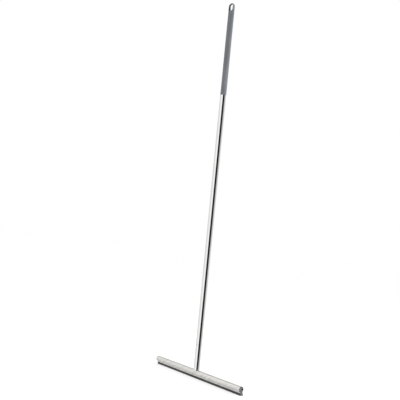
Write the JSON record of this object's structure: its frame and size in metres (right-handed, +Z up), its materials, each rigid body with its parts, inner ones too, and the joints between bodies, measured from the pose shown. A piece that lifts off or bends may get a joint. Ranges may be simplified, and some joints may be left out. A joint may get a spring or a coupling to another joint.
{
  "type": "window cleaning squeegee",
  "caption": "Long-handled window squeegee: straight rubber blade in a rolled metal channel, screw-on neck, slim polished pole, grey grip with a slotted hanging eye.",
  "frame": {"origin": "on the pole's axis, level with the blade's wiping face, which is the lowest face of the part", "axes": "+Z up along the pole, X along the blade, -Y the front"},
  "size_m": [0.45, 0.02, 1.26],
  "materials": {
    "grip_plastic": "satin, fine moulded texture",
    "polished_pole": "polished tube",
    "channel_steel": "fine diagonal brushing",
    "blade_rubber": "matte extruded rubber",
    "seam_nylon": "natural nylon",
    "zinc_steel": "zinc plated",
    "brass_insert": "turned",
    "core_aluminium": "mill finish",
    "insert_plastic": "moulded"
  },
  "bodies": {
    "pole": {"hanging_eye": "grip_plastic", "eye_pin": "zinc_steel", "grip_sleeve": "grip_plastic", "grip_core_tube": "core_aluminium", "core_bush": "insert_plastic", "pole_tube": "polished_pole", "pole_thread_insert": "brass_insert"},
    "washer": {"joint_washer": "seam_nylon"},
    "head": {"joint_stud": "zinc_steel", "neck_tube": "polished_pole", "neck_top_insert": "brass_insert", "neck_saddle": "core_aluminium", "neck_screw": "zinc_steel", "head_channel": "channel_steel"},
    "blade": {"rubber_blade": "blade_rubber"}
  },
  "joints": [
    {"name": "head_turn", "type": "hinge", "parent": "pole", "child": "washer", "pos_m": [0, 0, 0.1125], "axis": [0, 0, -1], "range_deg": [0, 3690]},
    {"name": "head_unscrew", "type": "slide", "parent": "washer", "child": "head", "axis": [0, 0, -1], "range_m": [0, 0.01794]},
    {"name": "blade_slide", "type": "slide", "parent": "head", "child": "blade", "axis": [1, 0, 0], "range_m": [0, 0.45]}
  ],
  "couplings": [
    {"joint": "head_unscrew", "follows": "head_turn", "m_per_rad": 0.00027852}
  ]
}
